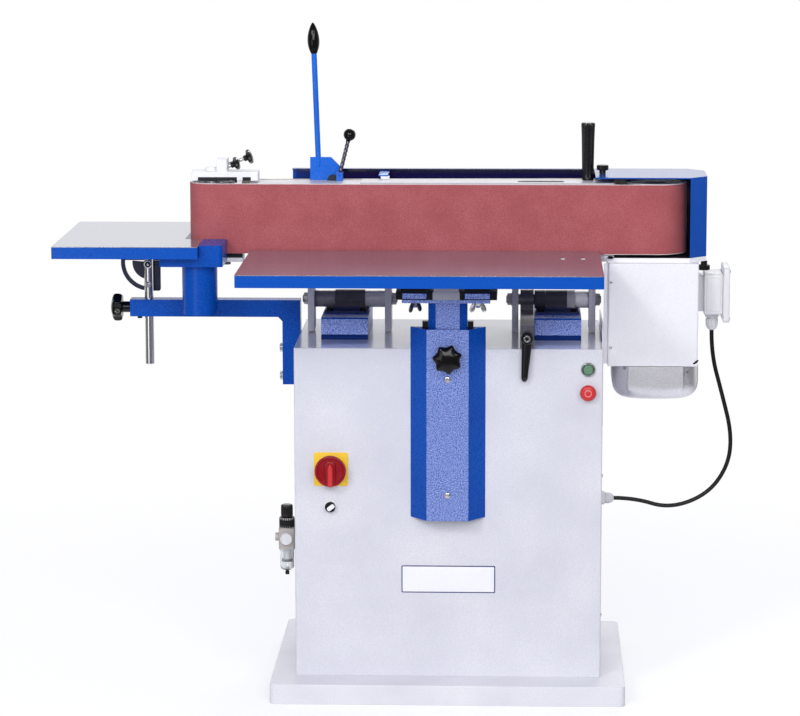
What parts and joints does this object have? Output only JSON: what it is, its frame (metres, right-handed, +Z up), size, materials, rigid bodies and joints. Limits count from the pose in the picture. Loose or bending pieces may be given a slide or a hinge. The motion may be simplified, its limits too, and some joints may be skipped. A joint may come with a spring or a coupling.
{
  "type": "edge sander",
  "caption": "Stationary edge sander: cabinet on a plinth, tilting head with a vertical belt, lifting work table, tilting end table and dust hood.",
  "frame": {"origin": "centre of the plinth's underside, on the floor", "axes": "+X to the operator's right along the belt, +Y away from the operator, +Z up"},
  "size_m": [1.4493, 0.73, 1.418],
  "materials": {
    "blue_paint": "textured powder coat",
    "white_paint": "textured powder coat",
    "grey_paint": "smooth paint",
    "navy_paint": "smooth paint",
    "ground_steel": "ground",
    "bright_steel": "polished",
    "black_screw": "black oxide",
    "cast_aluminium": "turned",
    "grey_casting": "machined",
    "abrasive": "fine grit on cloth",
    "black_plastic": "satin",
    "light_plastic": "satin",
    "cable_rubber": "matt",
    "red_plastic": "gloss",
    "green_plastic": "gloss",
    "yellow_plate": "gloss",
    "clear_bowl": "clear polycarbonate"
  },
  "bodies": {
    "cabinet": {"plinth": "blue_paint", "cabinet_shell": "white_paint", "starter": "black_plastic", "side_shield": "white_paint", "column_housing": "blue_paint", "pedestal_left": "blue_paint", "pedestal_right": "blue_paint", "pillow_left": "grey_casting", "pillow_right": "grey_casting", "frame_screws": "black_screw", "guide_pads": "black_plastic", "tilt_clamp": "grey_casting", "switch_plate": "yellow_plate", "selector_bezel": "bright_steel", "start_bezel": "bright_steel", "cabinet_gland": "light_plastic", "end_arm": "blue_paint", "regulator_body": "grey_paint", "regulator_bowl": "clear_bowl"},
    "head": {"head_beam": "blue_paint", "platen": "ground_steel", "sanding_belt": "abrasive", "top_strip": "grey_paint", "ear_plates": "blue_paint", "axle_left": "ground_steel", "axle_right": "ground_steel", "guard": "blue_paint", "motor_cover": "white_paint", "motor": "grey_paint", "terminal_box": "light_plastic", "terminal_lid": "light_plastic", "hand_grip": "black_plastic", "motor_cable": "cable_rubber"},
    "drive": {"drive_pulley": "cast_aluminium"},
    "idler_carriage": {"idler_bracket": "grey_paint"},
    "idler": {"idler_pulley": "cast_aluminium"},
    "tracking_knob_a": {"tracking_knob_a": "black_plastic"},
    "tracking_knob_b": {"tracking_knob_b": "black_plastic"},
    "tension_lever": {"tension_lever": "blue_paint", "lever_handle": "black_plastic"},
    "lock_lever": {"lock_lever": "black_plastic"},
    "thumbscrew_top": {"thumbscrew_top": "black_plastic"},
    "thumbscrew_low": {"thumbscrew_low": "black_plastic"},
    "table_post": {"table_post": "blue_paint"},
    "table": {"table_slide": "blue_paint", "main_table": "ground_steel"},
    "wing_nut_left": {"wing_nut_left": "black_screw"},
    "wing_nut_right": {"wing_nut_right": "bright_steel"},
    "column_knob": {"column_knob": "black_plastic"},
    "tilt_lever": {"tilt_lever": "black_plastic"},
    "end_rod": {"end_rod": "bright_steel"},
    "end_table": {"end_table": "blue_paint", "end_quadrant": "navy_paint", "dust_hood": "blue_paint"},
    "end_knob": {"end_knob": "black_plastic"},
    "main_switch": {"main_switch": "red_plastic"},
    "selector": {"selector_knob": "black_plastic"},
    "start_button": {"start_button": "green_plastic"},
    "stop_button": {"stop_button": "red_plastic"},
    "regulator_knob": {"regulator_knob": "black_plastic"}
  },
  "joints": [
    {"name": "head_tilt", "type": "hinge", "parent": "cabinet", "child": "head", "pos_m": [0, 0.038, 0.821], "axis": [-1, 0, 0], "range_deg": [0, 45], "deforming": ["motor_cable"]},
    {"name": "drive_spin", "type": "hinge", "parent": "head", "child": "drive", "pos_m": [0.441, 0.0165, 1.005], "axis": [0, 0, 1], "continuous": true},
    {"name": "idler_slide", "type": "slide", "parent": "head", "child": "idler_carriage", "axis": [1, 0, 0], "range_m": [0, 0.012]},
    {"name": "idler_spin", "type": "hinge", "parent": "idler_carriage", "child": "idler", "pos_m": [-0.51365, -0.0035, 1.005], "axis": [0, 0, 1], "continuous": true},
    {"name": "tracking_a_turn", "type": "hinge", "parent": "idler_carriage", "child": "tracking_knob_a", "pos_m": [-0.46315, -0.0155, 1.119], "axis": [0.9397, 0, 0.342], "continuous": true},
    {"name": "tracking_b_turn", "type": "hinge", "parent": "idler_carriage", "child": "tracking_knob_b", "pos_m": [-0.43715, 0.0085, 1.131], "axis": [0.9397, 0, 0.342], "continuous": true},
    {"name": "tension_lever_swing", "type": "hinge", "parent": "head", "child": "tension_lever", "pos_m": [-0.255, 0.042, 1.081], "axis": [0, 1, 0], "range_deg": [0, 50]},
    {"name": "lock_lever_swing", "type": "hinge", "parent": "head", "child": "lock_lever", "pos_m": [-0.23875, 0.013, 1.093], "axis": [0, 1, 0], "range_deg": [-25, 25]},
    {"name": "guard_screw_top_turn", "type": "hinge", "parent": "head", "child": "thumbscrew_top", "pos_m": [0.326, 0.02, 1.104], "axis": [0, 0, 1], "continuous": true},
    {"name": "guard_screw_low_turn", "type": "hinge", "parent": "head", "child": "thumbscrew_low", "pos_m": [0.5438, -0.018, 0.906], "axis": [0, 0, 1], "continuous": true},
    {"name": "table_lift", "type": "slide", "parent": "cabinet", "child": "table_post", "axis": [0, 0, 1], "range_m": [-0.02, 0.1]},
    {"name": "table_reach", "type": "slide", "parent": "table_post", "child": "table", "axis": [0, 1, 0], "range_m": [-0.06, 0]},
    {"name": "wing_nut_left_turn", "type": "hinge", "parent": "table_post", "child": "wing_nut_left", "pos_m": [-0.068, -0.229, 0.8498], "axis": [0, 0, 1], "continuous": true},
    {"name": "wing_nut_right_turn", "type": "hinge", "parent": "table_post", "child": "wing_nut_right", "pos_m": [0.063, -0.229, 0.8498], "axis": [0, 0, 1], "continuous": true},
    {"name": "column_knob_turn", "type": "hinge", "parent": "cabinet", "child": "column_knob", "pos_m": [0, -0.262, 0.739], "axis": [0, 1, 0], "continuous": true},
    {"name": "tilt_lever_swing", "type": "hinge", "parent": "cabinet", "child": "tilt_lever", "pos_m": [0.1655, -0.21, 0.776], "axis": [0, 1, 0], "range_deg": [-40, 40]},
    {"name": "end_rod_lift", "type": "slide", "parent": "cabinet", "child": "end_rod", "axis": [0, 0, 1], "range_m": [-0.008, 0.08]},
    {"name": "end_table_tilt", "type": "hinge", "parent": "end_rod", "child": "end_table", "pos_m": [-0.655, 0.02, 0.899], "axis": [0, -1, 0], "range_deg": [0, 45]},
    {"name": "end_knob_turn", "type": "hinge", "parent": "cabinet", "child": "end_knob", "pos_m": [-0.713, 0.02, 0.8035], "axis": [1, 0, 0], "continuous": true},
    {"name": "main_switch_turn", "type": "hinge", "parent": "cabinet", "child": "main_switch", "pos_m": [-0.2475, -0.215, 0.492], "axis": [0, 1, 0], "range_deg": [0, 90]},
    {"name": "selector_turn", "type": "hinge", "parent": "cabinet", "child": "selector", "pos_m": [-0.249, -0.212, 0.412], "axis": [0, 1, 0], "range_deg": [-45, 45]},
    {"name": "start_button_push", "type": "slide", "parent": "cabinet", "child": "start_button", "axis": [0, 1, 0], "range_m": [0, 0.0025], "stiffness_N_per_m": 800},
    {"name": "stop_button_push", "type": "slide", "parent": "cabinet", "child": "stop_button", "axis": [0, 1, 0], "range_m": [0, 0.004], "stiffness_N_per_m": 800},
    {"name": "regulator_turn", "type": "hinge", "parent": "cabinet", "child": "regulator_knob", "pos_m": [-0.348, -0.12, 0.38], "axis": [0, 0, 1], "continuous": true}
  ],
  "couplings": [
    {"joint": "idler_spin", "follows": "drive_spin", "ratio": 1.4444},
    {"joint": "tension_lever_swing", "follows": "idler_slide", "rad_per_m": 72.7}
  ]
}
